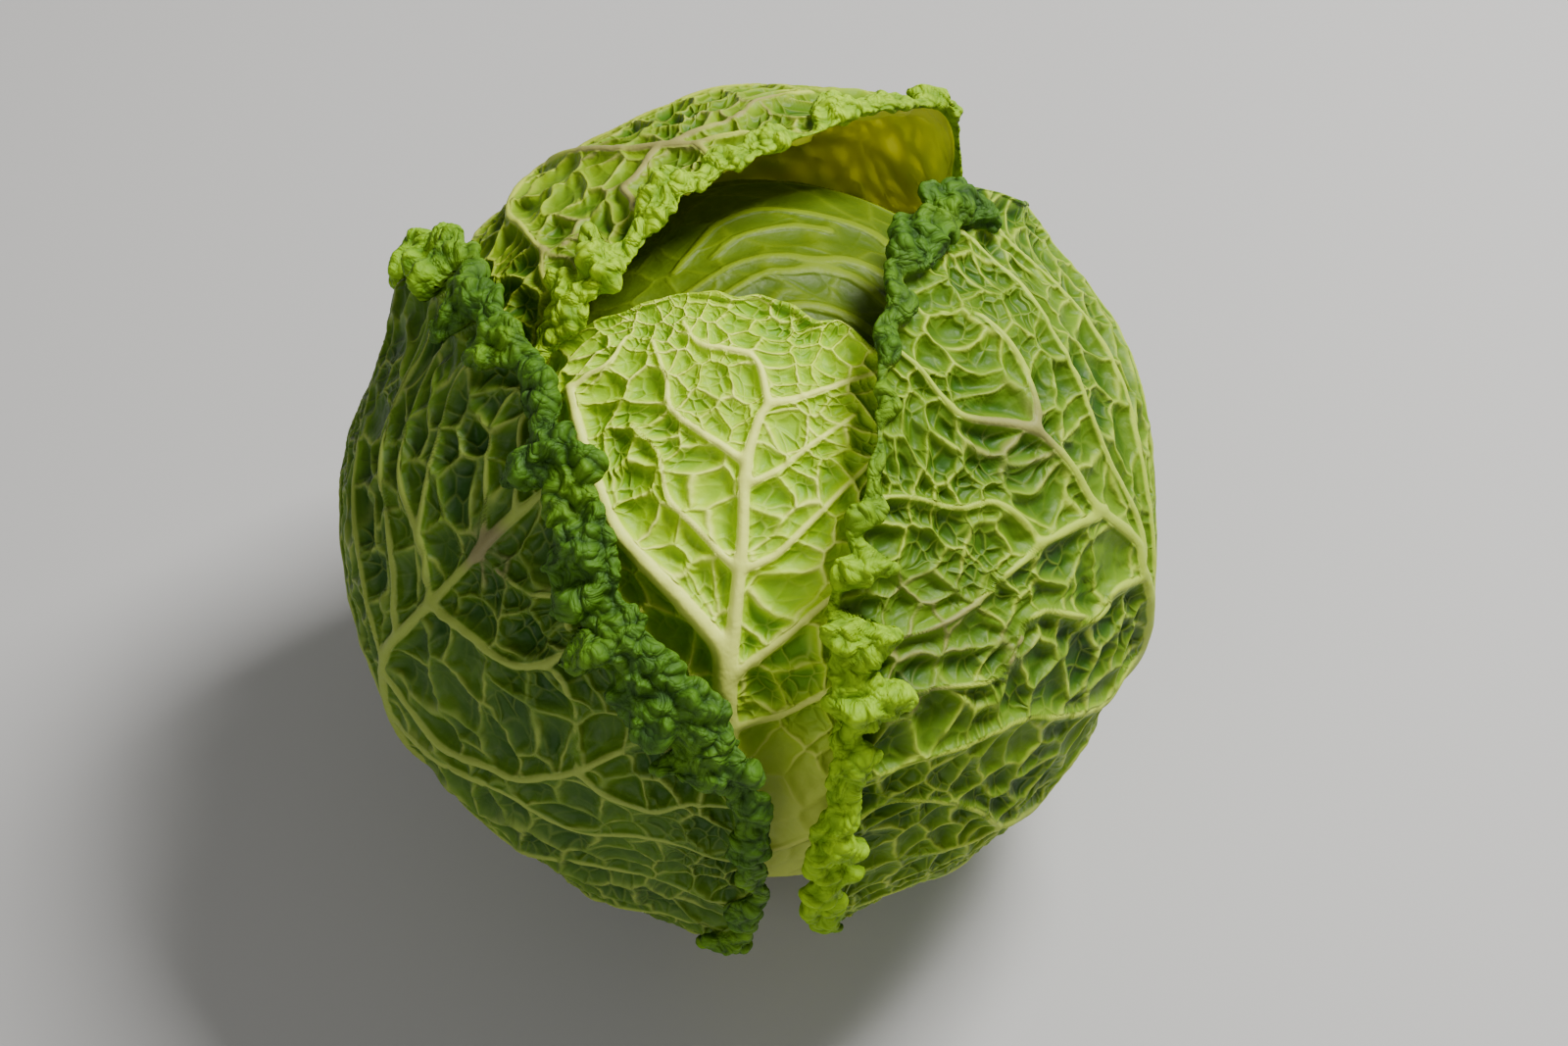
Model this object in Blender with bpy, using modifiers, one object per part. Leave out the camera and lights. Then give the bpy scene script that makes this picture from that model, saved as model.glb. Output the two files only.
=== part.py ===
"""Savoy cabbage: a round head of broad leaves wrapped one over another on a short cut stem.

Metres, +Z up. The origin is the centre of the stem's flat cut face. -Y is the front of the head.
"""

import math

import bmesh
import bpy
from mathutils import Vector

# Head
HEAD_RADIUS = 0.084      # widest half width, to the middle of the outer leaves
HEAD_RISE = 0.083        # centre of the head to the crown
HEAD_DROP = 0.074        # centre of the head to the underside
CENTRE_HEIGHT = 0.078    # centre of the head above the cut face

# Leaves
LEAF_THICKNESS = 0.0016
LEAF_CELLS = 16          # faces across a leaf
LAYER_WRAPPER = 0.0      # depth of each leaf layer below the outer leaves
LAYER_HOOD = -0.0042
LAYER_FRONT = -0.0084
LAYER_UNDER_HOOD = -0.0128
LAYER_INNER_LEFT = -0.0170
LAYER_INNER_RIGHT = -0.0210
LAYER_HEART = -0.0245

# Stem
STEM_RADIUS = 0.0185     # radius of the flat cut face
STEM_CHAMFER = 0.0008
CORE_TOP = 0.046         # top of the core inside the heart
CORE_TOP_RADIUS = 0.006
CORE_CLEARANCE = 0.0006

LEAF_GREENS = {
    "wrapper": (0.055, 0.13, 0.025),
    "hood": (0.16, 0.27, 0.05),
    "front": (0.23, 0.36, 0.08),
    "inner": (0.42, 0.52, 0.20),
}
STEM_CREAM = (0.62, 0.60, 0.40)


def clear_scene():
    for obj in list(bpy.data.objects):
        bpy.data.objects.remove(obj, do_unlink=True)


def new_collection(name):
    collection = bpy.data.collections.new(name)
    bpy.context.scene.collection.children.link(collection)
    return collection


def new_material(name, colour, roughness):
    material = bpy.data.materials.new(name)
    material.use_nodes = True
    shader = material.node_tree.nodes["Principled BSDF"]
    shader.inputs["Base Color"].default_value = (*colour, 1.0)
    shader.inputs["Roughness"].default_value = roughness
    shader.inputs["Metallic"].default_value = 0.0
    return material


def direction(azimuth, elevation):
    """Unit vector from the head's centre. Azimuth 0 is the front and 90 is the right."""
    a = math.radians(azimuth)
    e = math.radians(elevation)
    return Vector((math.sin(a) * math.cos(e), -math.cos(a) * math.cos(e), math.sin(e)))


def head_radius(d):
    """Centre of the head to the middle of the outer leaf layer, along d."""
    depth = HEAD_RISE if d.z > 0 else HEAD_DROP
    flat = (d.x * d.x + d.y * d.y) / HEAD_RADIUS**2
    return 1.0 / math.sqrt(flat + d.z * d.z / depth**2)


def smooth(low, high, value):
    t = min(1.0, max(0.0, (value - low) / (high - low)))
    return t * t * (3.0 - 2.0 * t)


def outline_radius(outline, bearing):
    """Leaf centre to leaf edge. The outline has lengths at even steps, from the tip clockwise."""
    count = len(outline)
    place = (bearing % 360.0) * count / 360.0
    i = int(place)
    t = place - i
    a, b, c, d = (outline[(i + k) % count] for k in (-1, 0, 1, 2))
    bend = (2 * b) + (c - a) * t + (2 * a - 5 * b + 4 * c - d) * t * t
    return 0.5 * (bend + (3 * b - 3 * c + d - a) * t**3)


def disc(u, v):
    """Square grid coordinates to a point in a round disc."""
    return u * math.sqrt(1.0 - v * v / 2.0), v * math.sqrt(1.0 - u * u / 2.0)


def leaf(name, collection, material, place, outline, layer, stalk_gap, lift):
    """One leaf: a flat round blade wrapped over the head, with its stalk end at the stem.

    place is the azimuth, elevation and roll of the blade's centre, in degrees. stalk_gap is the
    angle between the stalk's end and the stem's axis. lift(x, y, margin) raises the blade off
    its layer, where x and y lie in the flat blade and margin is the distance to the leaf's edge.
    """
    azimuth, elevation, roll = place
    centre = direction(azimuth, elevation)
    north = direction(azimuth, elevation + 90.0)
    east = north.cross(centre)
    r = math.radians(roll)
    up = north * math.cos(r) + east * math.sin(r)
    side = east * math.cos(r) - north * math.sin(r)
    radius = HEAD_RADIUS + layer

    pole_angle = math.radians(90.0 + elevation)
    pole = Vector((0.0, 0.0, -1.0))
    pole_bearing = math.degrees(math.atan2(pole.dot(side), pole.dot(up)))
    stalk_length = radius * (pole_angle - math.radians(stalk_gap))

    def edge(bearing):
        away = (bearing - pole_bearing + 180.0) % 360.0 - 180.0
        reach = outline_radius(outline, bearing)
        stalk = stalk_length - outline_radius(outline, pole_bearing)
        return reach + stalk * math.exp(-((away / 17.0) ** 2))

    bpy.ops.mesh.primitive_grid_add(x_subdivisions=LEAF_CELLS, y_subdivisions=LEAF_CELLS, size=2.0)
    obj = bpy.context.object
    obj.name = name
    obj.data.name = name
    for vertex in obj.data.vertices:
        p, q = disc(vertex.co.x, vertex.co.y)
        rho = math.hypot(p, q)
        bearing = math.degrees(math.atan2(p, q))
        reach = edge(bearing)
        x = p * reach
        y = q * reach
        angle = rho * reach / radius
        turn = math.radians(bearing)
        across = side * math.sin(turn) + up * math.cos(turn)
        d = centre * math.cos(angle) + across * math.sin(angle)
        height = head_radius(d) + layer + lift(x, y, (1.0 - rho) * reach)
        vertex.co = d * height
    obj.location = (0.0, 0.0, CENTRE_HEIGHT)

    shell = obj.modifiers.new("Thickness", "SOLIDIFY")
    shell.thickness = LEAF_THICKNESS
    shell.offset = 0.0
    shell.use_even_offset = True
    obj.data.materials.append(material)
    obj.data.shade_smooth()
    move_to(obj, collection)
    return obj


def move_to(obj, collection):
    for old in list(obj.users_collection):
        old.objects.unlink(obj)
    collection.objects.link(obj)


def turned(name, profile, steps, collection, material):
    """A solid turned about +Z from a profile of (radius, height) points, top to bottom."""
    mesh = bpy.data.meshes.new(name)
    shape = bmesh.new()
    points = [shape.verts.new((r, 0.0, z)) for r, z in profile]
    for first, second in zip(points, points[1:]):
        shape.edges.new((first, second))
    shape.to_mesh(mesh)
    shape.free()
    obj = bpy.data.objects.new(name, mesh)
    collection.objects.link(obj)
    screw = obj.modifiers.new("Turn", "SCREW")
    screw.axis = "Z"
    screw.steps = steps
    screw.render_steps = steps
    screw.use_merge_vertices = True
    screw.merge_threshold = 0.0001
    screw.use_smooth_shade = True
    mesh.materials.append(material)
    return obj


def core_radius(z):
    """Radius of the stem at height z, from the cut face to the top of the core."""
    t = z / CORE_TOP
    return STEM_RADIUS + (CORE_TOP_RADIUS - STEM_RADIUS) * t**1.3


def stem(collection, material):
    """The cut stump under the head, tapering into the core that the leaves grow from."""
    heights = [CORE_TOP * k / 8.0 for k in range(8, 0, -1)]
    profile = [(0.0, CORE_TOP + 0.002)]
    profile += [(core_radius(z), z) for z in heights]
    profile += [(STEM_RADIUS, STEM_CHAMFER), (STEM_RADIUS - STEM_CHAMFER, 0.0), (0.0, 0.0)]
    return turned("stem", profile, 24, collection, material)


def heart(collection, material):
    """The packed heart: the tight inner leaves as one ball, hollowed below for the core."""
    rings = 12
    profile = []
    for k in range(rings + 1):
        d = direction(90.0, 90.0 - 162.0 * k / rings)
        reach = head_radius(d) + LAYER_HEART
        profile.append((max(0.0, d.x * reach), d.z * reach + CENTRE_HEIGHT))
    profile[0] = (0.0, profile[0][1])
    low = profile[-1][1]
    top = CORE_TOP + 0.002 + CORE_CLEARANCE
    profile.append((core_radius(low) + CORE_CLEARANCE, low))
    for k in range(1, 4):
        z = low + (CORE_TOP - low) * k / 3.0
        profile.append((core_radius(z) + CORE_CLEARANCE, z + CORE_CLEARANCE))
    profile.append((0.0, top + 0.0006))
    return turned("heart", profile, 24, collection, material)


def wrapper_left(collection, material):
    """Outer leaf round the left of the head. Its edge is rolled out and its low corner hangs off."""
    outline = [0.076, 0.073, 0.086, 0.089, 0.096, 0.104, 0.104, 0.106, 0.100, 0.096, 0.092, 0.082]

    def lift(x, y, margin):
        roll_out = 0.0045 * (1.0 - smooth(0.0, 0.016, margin))
        hang = 0.005 * smooth(0.020, 0.080, x) * smooth(-0.010, -0.070, y)
        return roll_out + hang

    leaf("leaf_left", collection, material, (-58, 8, 8), outline, LAYER_WRAPPER, 15.6, lift)


def wrapper_right(collection, material):
    """Outer leaf round the right of the head, with a curled edge at the front and crown."""
    front_edge = [0.106, 0.107, 0.108, 0.107, 0.106, 0.104, 0.102, 0.097, 0.093, 0.094, 0.093, 0.089]
    back_edge = [0.093, 0.095, 0.095, 0.088, 0.081, 0.085, 0.094, 0.101, 0.106, 0.109, 0.110, 0.108]
    outline = back_edge + front_edge

    def lift(x, y, margin):
        roll_out = 0.0035 * (1.0 - smooth(0.0, 0.012, margin))
        hang = 0.003 * smooth(0.020, 0.080, -x) * smooth(-0.010, -0.070, y)
        return roll_out + hang

    leaf("leaf_right", collection, material, (76, 8, -8), outline, LAYER_WRAPPER, 15.6, lift)


def hood(collection, material):
    """Leaf from the back that arches over the crown, its far edge standing clear as a hood."""
    left_edge = [0.070, 0.072, 0.078, 0.085, 0.097, 0.102, 0.104, 0.104, 0.104, 0.108, 0.112, 0.111]
    right_edge = [0.110, 0.111, 0.112, 0.111, 0.110, 0.108, 0.104, 0.096, 0.086, 0.079, 0.074, 0.071]
    outline = left_edge + right_edge

    def lift(x, y, margin):
        arch = 0.125 * max(0.0, 0.045 - x) * smooth(-0.030, 0.045, y)
        tuck = 0.0016 * smooth(0.040, 0.065, x)
        return arch * smooth(-0.082, -0.060, x) - tuck

    leaf("leaf_hood", collection, material, (-146, 25, -8), outline, LAYER_HOOD, 15.6, lift)


def front(collection, material):
    """Pale leaf up the front of the head, its tip on the crown under the hood's edge."""
    outline = [0.100, 0.089, 0.077, 0.070, 0.073, 0.086, 0.096, 0.086, 0.073, 0.072, 0.084, 0.097]

    def lift(x, y, margin):
        return -0.001 * (1.0 - smooth(0.0, 0.016, margin)) * smooth(0.030, 0.080, y)

    leaf("leaf_front", collection, material, (-2, 15, 0), outline, LAYER_FRONT, 15.9, lift)


def inner_leaves(collection, material):
    """Smooth pale leaves: one lies under the hood and over the crown, two wrap the heart."""
    broad = [0.092, 0.088, 0.082, 0.080, 0.084, 0.096, 0.110, 0.096, 0.084, 0.080, 0.082, 0.088]
    small = [0.072, 0.076, 0.078, 0.078, 0.080, 0.088, 0.100, 0.088, 0.080, 0.078, 0.078, 0.076]

    def flat(x, y, margin):
        return 0.0

    leaf("leaf_crown", collection, material, (130, 40, 0), broad, LAYER_UNDER_HOOD, 15.8, flat)
    leaf("leaf_inner_left", collection, material, (-95, 35, 5), small, LAYER_INNER_LEFT, 15.6, flat)
    leaf("leaf_inner_right", collection, material, (42, 35, -5), small, LAYER_INNER_RIGHT, 15.4, flat)


def main():
    clear_scene()
    cabbage = new_collection("savoy_cabbage")
    greens = {k: new_material("leaf_" + k, colour, 0.5) for k, colour in LEAF_GREENS.items()}
    cream = new_material("stem", STEM_CREAM, 0.6)
    stem(cabbage, cream)
    heart(cabbage, greens["inner"])
    wrapper_left(cabbage, greens["wrapper"])
    wrapper_right(cabbage, greens["wrapper"])
    hood(cabbage, greens["hood"])
    front(cabbage, greens["front"])
    inner_leaves(cabbage, greens["inner"])


main()
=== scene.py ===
import math
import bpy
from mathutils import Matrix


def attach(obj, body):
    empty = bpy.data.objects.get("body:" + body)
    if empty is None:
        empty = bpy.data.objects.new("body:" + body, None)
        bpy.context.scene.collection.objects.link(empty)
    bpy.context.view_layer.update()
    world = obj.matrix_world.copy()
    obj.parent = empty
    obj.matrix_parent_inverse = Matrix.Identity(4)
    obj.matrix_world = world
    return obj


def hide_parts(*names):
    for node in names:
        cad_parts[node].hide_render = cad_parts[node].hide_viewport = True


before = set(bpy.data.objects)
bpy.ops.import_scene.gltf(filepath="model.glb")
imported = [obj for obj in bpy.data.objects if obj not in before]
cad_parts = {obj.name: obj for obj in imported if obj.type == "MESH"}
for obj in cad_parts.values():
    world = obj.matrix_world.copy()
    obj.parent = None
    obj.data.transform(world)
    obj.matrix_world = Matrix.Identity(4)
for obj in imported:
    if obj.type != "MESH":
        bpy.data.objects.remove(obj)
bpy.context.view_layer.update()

from types import SimpleNamespace

import bmesh
import bpy
import numpy as np
from mathutils import Vector

bpy.ops.object.select_all(action="DESELECT")


# --- Right wrapper leaf -----------------------------------------------
# One broad leaf clasping the right of the head: a thin puckered blade sewn tight between raised
# veins. It grows from the stem, and its edge rolls back on itself into a frill of blisters.

CENTRE = np.array([0.0, 0.0, 78.0])     # middle of the head, in mm
HEAD_WIDE = 84.0                        # from there to the outer leaves: sideways,
HEAD_RISE, HEAD_DROP = 83.0, 74.0       # up and down
BLADE = 0.7                             # least thickness of a leaf
MM = 0.001                              # a millimetre in scene units

LEAF_LOOK = {
    "cell": 11.0,           # width of a cell in the net of small veins, in mm
    "crowd": 0.25,          # how much the cells crowd together 100 mm from the blade's middle
    "pit": 0.32,            # how far a pucker's wall reaches into its cell, as a share of the cell
    "deep": 3.6,            # depth of the puckers, in mm
    "fine": 0.8,            # depth of the small puckers inside them, in mm
    "rim": 12.0,            # how far in from the edge the small puckers are deeper, in mm
    "crumple": 1.0,         # height of the creases inside the puckers, in mm
    "ribs": 1.0,            # height of the main veins, 1 on a full grown leaf
    "web": 0.35,            # height of the net's own ridges, in mm
    "swell": 1.0,           # height of the broad waves of the blade, in mm
    "fold": None,           # the step where another leaf's edge lies over this one
    "floor": 3.6,           # depth at which the relief levels out, in mm
    "ease": 2,              # how many times the relief is smoothed
    "pale": (75.0, 115.0),  # where the blade turns pale and plain towards the stalk, in mm
    "uneven": 0.3,          # how much the frill's width varies
    "wavy": 0.3,            # how far the edge strays in and out, in mm
    "bubble": 1.5,          # height of the frill's blisters, in mm
    "blister": 3.2,         # width of one blister, in mm
    "lobe": 9.6,            # width of a lobe of blisters, in mm
    "gather": 0.15,         # how much the mesh gathers at the edge
    "drift": (0.0, 0.0),    # which way the mesh is finer
    "blush": [],            # purple tints on the veins: x, y and radius, in mm
}


def smooth(low, high, value):
    t = np.clip((value - low) / (high - low), 0.0, 1.0)
    return t * t * (3.0 - 2.0 * t)


def rounded(value, full):
    """Eases up from 0 to 1, which it reaches where the value is full."""
    return 1.0 - (1.0 - np.clip(value / full, 0.0, 1.0)) ** 2


def heading(azimuth, elevation):
    a, e = math.radians(azimuth), math.radians(elevation)
    return np.array([math.sin(a) * math.cos(e), -math.cos(a) * math.cos(e), math.sin(e)])


def leaf_axes(azimuth, elevation, roll):
    centre = heading(azimuth, elevation)
    north = heading(azimuth, elevation + 90.0)
    east = np.cross(north, centre)
    r = math.radians(roll)
    up = north * math.cos(r) + east * math.sin(r)
    side = east * math.cos(r) - north * math.sin(r)
    return centre, up, side


def head_reach(d):
    """Middle of the head to the outer leaf layer along d, in mm."""
    deep = np.where(d[:, 2] > 0, HEAD_RISE, HEAD_DROP)
    return 1.0 / np.sqrt((d[:, 0] ** 2 + d[:, 1] ** 2) / HEAD_WIDE**2 + d[:, 2] ** 2 / deep**2)


def eased(a, b, c, d, t):
    """A smooth way from b to c as t goes from 0 to 1, where a comes before them and d after."""
    bend = 2 * b + (c - a) * t + (2 * a - 5 * b + 4 * c - d) * t * t
    return 0.5 * (bend + (3 * b - 3 * c + d - a) * t**3)


def around(values, bearing):
    """A value given at even steps from the leaf's tip clockwise, eased in between."""
    values = np.array(values, float)
    count = len(values)
    place = (bearing % 360.0) * count / 360.0
    i = np.floor(place).astype(int)
    return eased(*(values[(i + k) % count] for k in (-1, 0, 1, 2)), place - i)


def ripple(x, y, size, seed):
    """Soft random waves about -1 to 1, with bumps of the given size."""
    random = np.random.default_rng(seed)
    total = np.zeros_like(x)
    for _ in range(9):
        turn = random.uniform(0, math.tau)
        wave = math.tau / (size * random.uniform(1.4, 2.8))
        phase = random.uniform(0, math.tau)
        total += np.sin((x * math.cos(turn) + y * math.sin(turn)) * wave + phase)
    return total / 3.2


def cell_distance(tree, vector, scale, axes, feature):
    """Distance to a wall or middle of Voronoi cells, the same in geometry and in a material."""
    cell = tree.nodes.new("ShaderNodeTexVoronoi")
    cell.voronoi_dimensions = axes
    cell.feature = feature
    cell.inputs["Scale"].default_value = scale
    cell.inputs["Randomness"].default_value = 0.9
    tree.links.new(vector, cell.inputs["Vector"])
    return cell.outputs["Distance"]


def cells_at(spots, size, feature="DISTANCE_TO_EDGE"):
    """Voronoi cells on the flat or in space: distance to the nearest wall or middle, in mm."""
    count, axes = spots.shape
    mesh = bpy.data.meshes.new("probe")
    mesh.vertices.add(count)
    among = np.zeros((count, 3))
    among[:, :axes] = spots / size
    mesh.vertices.foreach_set("co", among.ravel())
    probe = bpy.data.objects.new("probe", mesh)
    bpy.context.scene.collection.objects.link(probe)
    tree = bpy.data.node_groups.new("probe", "GeometryNodeTree")
    for way in ("INPUT", "OUTPUT"):
        tree.interface.new_socket("Geometry", in_out=way, socket_type="NodeSocketGeometry")
    start = tree.nodes.new("NodeGroupInput")
    end = tree.nodes.new("NodeGroupOutput")
    place = tree.nodes.new("GeometryNodeInputPosition")
    keep = tree.nodes.new("GeometryNodeStoreNamedAttribute")
    keep.data_type = "FLOAT"
    keep.domain = "POINT"
    keep.inputs["Name"].default_value = "found"
    tree.links.new(start.outputs[0], keep.inputs["Geometry"])
    gap = cell_distance(tree, place.outputs[0], 1.0, f"{axes}D", feature)
    tree.links.new(gap, keep.inputs["Value"])
    tree.links.new(keep.outputs["Geometry"], end.inputs[0])
    probe.modifiers.new("probe", "NODES").node_group = tree
    bpy.context.view_layer.update()
    done = probe.evaluated_get(bpy.context.evaluated_depsgraph_get())
    found = np.empty(count, np.float32)
    done.data.attributes["found"].data.foreach_get("value", found)
    bpy.data.objects.remove(probe, do_unlink=True)
    bpy.data.meshes.remove(mesh)
    bpy.data.node_groups.remove(tree)
    return found.astype(float) * size


VEIN_STEP = 0.4                         # from one point of a vein to the next, in mm
VEIN_REACH = 14.0                       # room round a vein where its height is worked out, in mm


def vein_line(points, wide, narrow):
    """A vein as (x, y, half width) in short steps, along a smooth line through a few points."""
    p = np.array(points, float)
    p = np.vstack([2 * p[0] - p[1], p, 2 * p[-1] - p[-2]])
    line = []
    for k in range(1, len(p) - 2):
        n = max(2, int(np.linalg.norm(p[k + 1] - p[k]) / VEIN_STEP))
        t = np.linspace(0, 1, n, endpoint=False)[:, None]
        line.append(eased(*p[k - 1 : k + 3], t))
    line = np.vstack(line + [p[-2][None]])
    taper = (1.0 - np.linspace(0.0, 1.0, len(line))[:, None]) ** 1.5
    half = 0.5 * (narrow + (wide - narrow) * taper)
    return np.hstack([line, half])


def vein_field(x, y, veins):
    """Height of the vein ridges, and the distance to a vein's side, less than 0 on it, in mm."""
    ridge = np.zeros_like(x)
    gap = np.full_like(x, 30.0)
    for vein in veins:
        low = vein[:, :2].min(0) - VEIN_REACH
        high = vein[:, :2].max(0) + VEIN_REACH
        near = np.nonzero((x > low[0]) & (x < high[0]) & (y > low[1]) & (y < high[1]))[0]
        for part in np.array_split(near, max(1, len(near) // 4000)):
            if len(part) == 0:
                continue
            square = (x[part, None] - vein[None, :, 0]) ** 2
            square += (y[part, None] - vein[None, :, 1]) ** 2
            best = square.argmin(1)
            dist = np.sqrt(square[np.arange(len(part)), best])
            half = vein[best, 2]
            slope = np.exp(-((dist / (0.95 * half + 0.5)) ** 2))
            rise = 1.05 * np.minimum(half, 2.6) ** 0.8 * slope
            ridge[part] = np.maximum(ridge[part], rise)
            gap[part] = np.minimum(gap[part], dist - half)
    return ridge, gap


def lowest_near(grid, reach):
    """The lowest of the values within a few grid steps."""
    low = grid.copy()
    for axis in (0, 1):
        padded = np.pad(low, [(reach, reach) if k == axis else (0, 0) for k in (0, 1)], mode="edge")
        views = [np.take(padded, range(k, k + grid.shape[axis]), axis) for k in range(2 * reach + 1)]
        low = np.minimum.reduce(views)
    return low


def soften(values, passes):
    """Values on the square grid of a blade, eased with their neighbours."""
    side = math.isqrt(len(values))
    grid = values.reshape(side, side)
    for axis in (0, 1) * passes:
        padded = np.pad(grid, [(1, 1) if k == axis else (0, 0) for k in (0, 1)], mode="edge")
        before, here, after = (np.take(padded, range(k, k + side), axis) for k in range(3))
        grid = 0.25 * before + 0.5 * here + 0.25 * after
    return grid.ravel()


BACK_STEP = 4                           # the inner face has one row of faces to so many outside
SMALL_CELL = 0.42                       # the small puckers' cells, as a share of the net's


def close_back(obj, count, spots, step):
    """The leaf's inner face: a coarser sheet of the given spots, joined to the rim all round."""
    shape = bmesh.new()
    shape.from_mesh(obj.data)
    outer = list(shape.verts)
    side = count + 1
    rows = range(0, side, step)
    found = {}
    for j in rows:
        for i in rows:
            if i in (0, count) or j in (0, count):
                found[i, j] = outer[j * side + i]
            else:
                found[i, j] = shape.verts.new(spots[j * side + i])

    def edge_run(start, end):
        """Grid corners from start to end, with every rim vertex where both lie on one rim."""
        (i0, j0), (i1, j1) = start, end
        on_rim = (i0 == i1 and i0 in (0, count)) or (j0 == j1 and j0 in (0, count))
        if not on_rim:
            return [found[start]]
        run = []
        for k in range(step):
            i = i0 + (i1 - i0) * k // step
            j = j0 + (j1 - j0) * k // step
            run.append(outer[j * side + i])
        return run

    for j in rows[:-1]:
        for i in rows[:-1]:
            corners = [(i, j), (i, j + step), (i + step, j + step), (i + step, j)]
            ring = []
            for k in range(4):
                ring += edge_run(corners[k], corners[(k + 1) % 4])
            face = shape.faces.new(ring)
            face.material_index = 1
            face.smooth = True
    bmesh.ops.recalc_face_normals(shape, faces=shape.faces)
    shape.to_mesh(obj.data)
    shape.free()


def spread_grid(name, count, look):
    """A square grid eased into a disc, with each point's distance from the middle and bearing."""
    bpy.ops.mesh.primitive_grid_add(x_subdivisions=count, y_subdivisions=count, size=2.0)
    obj = bpy.context.object
    obj.name = name
    co = np.empty(len(obj.data.vertices) * 3)
    obj.data.vertices.foreach_get("co", co)
    co = co.reshape(-1, 3)
    u = (1.0 + look.gather) * co[:, 0] - look.gather * co[:, 0] ** 3
    v = (1.0 + look.gather) * co[:, 1] - look.gather * co[:, 1] ** 3
    u = u + look.drift[0] * (1.0 - u * u)
    v = v + look.drift[1] * (1.0 - v * v)
    p = u * np.sqrt(1.0 - v * v / 2.0)
    q = v * np.sqrt(1.0 - u * u / 2.0)
    return obj, np.minimum(1.0, np.hypot(p, q)), np.degrees(np.arctan2(p, q))


def roll_edge(rho, reach, half):
    """The edge turned outwards and back round a roll half as high as it is wide.

    The way round runs from 225 degrees to -100, so it starts 1.707 half widths in from the
    reach and ends 1.174 in from it, where the roll is 0.278 half heights under the blade.
    Gives each point's distance from the middle and height, both again for the inner face, its
    distance laid flat, its way along the roll in mm and as a share, and how far in it lies.
    """
    tall = 0.5 * half
    turn = np.radians(np.linspace(225.0, -100.0, 261))
    route = np.cumsum(np.hypot(np.diff(np.cos(turn)), 0.5 * np.diff(np.sin(turn))))
    route = np.concatenate([[0.0], route])
    start = reach - 1.707 * half
    end = reach - 1.174 * half
    length = half * route[-1]
    flat = rho * (start + length)
    along = np.maximum(0.0, flat - start)
    rolled = along > 0.0
    share = along / length
    phi = np.interp(along / half, route, turn)
    out = np.where(rolled, reach - half + half * np.cos(phi), flat)
    rise = np.where(rolled, tall * (0.707 + np.sin(phi)), 0.0)
    back_out = np.where(rolled, start + (end - start) * share, flat)
    return out, rise, back_out, -0.278 * tall * share, flat, along, share, start - out


def net_places(fx, fy, look, seed):
    """Where each point lies among the net's cells, in mm, and how tight the cells are there."""
    nx = fx + 0.9 * ripple(fx, fy, 9.0, seed + 3) + 3.0 * ripple(fx, fy, 24.0, seed + 4)
    ny = fy + 0.9 * ripple(fx, fy, 9.0, seed + 5) + 3.0 * ripple(fx, fy, 24.0, seed + 6)
    crowd = look.crowd * (nx**2 + ny**2) / 1e4
    tight = np.sqrt((1.0 + crowd) * (1.0 + 3.0 * crowd))
    return nx * (1.0 + crowd), ny * (1.0 + crowd), tight


def puckered(fx, fy, nx, ny, tight, margin, pale, veins, look, seed):
    """Relief of the blade, depth of its puckers, and distance to a main vein's side, in mm."""
    net_gap = cells_at(np.stack([nx, ny], 1), look.cell) / tight
    small_gap = cells_at(np.stack([nx + 4.0 * look.cell, ny], 1), look.cell * SMALL_CELL) / tight
    ridge, vein_gap = vein_field(fx, fy, veins)
    gap = np.minimum(np.maximum(0.0, vein_gap), net_gap)

    deep = look.deep / tight**0.6 * (1.0 + 0.25 * ripple(fx, fy, 18.0, seed + 7))
    deep = deep * (1.0 - 0.85 * pale)
    bowl = rounded(gap * tight, look.pit * look.cell)
    beside_vein = 1.0 - np.exp(0.6 - np.sqrt(gap**2 + 0.36))
    hollow = 0.2 * beside_vein + 0.8 * bowl
    dish = rounded(small_gap * tight, 0.17 * look.cell) * (1.0 - np.exp(-gap))
    near_rim = smooth(look.rim, 0.0, margin)
    puckers = deep * hollow + look.fine * (0.7 + 0.7 * near_rim) * dish

    creases = np.minimum(1.2, np.abs(ripple(fx, fy, 3.2, seed + 8)))
    crumple = look.crumple * (1.0 - pale) * creases * hollow
    swell = look.swell * ripple(fx, fy, 26.0, seed + 9)
    web = look.web * np.exp(-((net_gap / 0.7) ** 2)) * smooth(0.0, 1.0, vein_gap)
    relief = look.ribs * ridge + web - puckers + crumple + swell
    if look.fold:
        relief += look.fold(fx, fy)
    relief = np.where(relief < 0.0, look.floor * np.tanh(relief / look.floor), relief)
    return relief, puckers, vein_gap


def blistered(spot, x, y, fx, fy, half, look, seed):
    """Relief of the frill in mm, how high each point is on its blister, and its place among them."""
    bent = np.stack([ripple(fx, fy, 3.0, seed + k) for k in (13, 14, 15)], 1)
    bead_spot = spot / look.blister + 0.22 * bent
    pillow = rounded(cells_at(bead_spot, 1.0), 0.18)
    middle = cells_at(bead_spot, 1.0, "F1")
    dome = 0.5 * pillow + 0.5 * np.clip(1.15 - (middle / 0.75) ** 2, 0.0, 1.0)
    lobes = rounded(cells_at(spot + 90.0, look.lobe) / look.lobe, 0.34)
    bulk = smooth(0.6, 5.0, half)
    slim = 0.3 + 0.7 * smooth(0.6, 2.0, half)
    relief = look.bubble * slim * (0.35 + 0.65 * bulk) * dome * (0.75 + 0.5 * lobes)
    relief += 1.8 * bulk * (lobes - 1.0) + 0.8 * bulk * ripple(x, y, 5.0, seed + 10)
    return relief, dome * (0.45 + 0.55 * lobes), bead_spot


def place_points(mesh, spot):
    mesh.vertices.foreach_set("co", (spot * MM).ravel())
    mesh.update()


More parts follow.
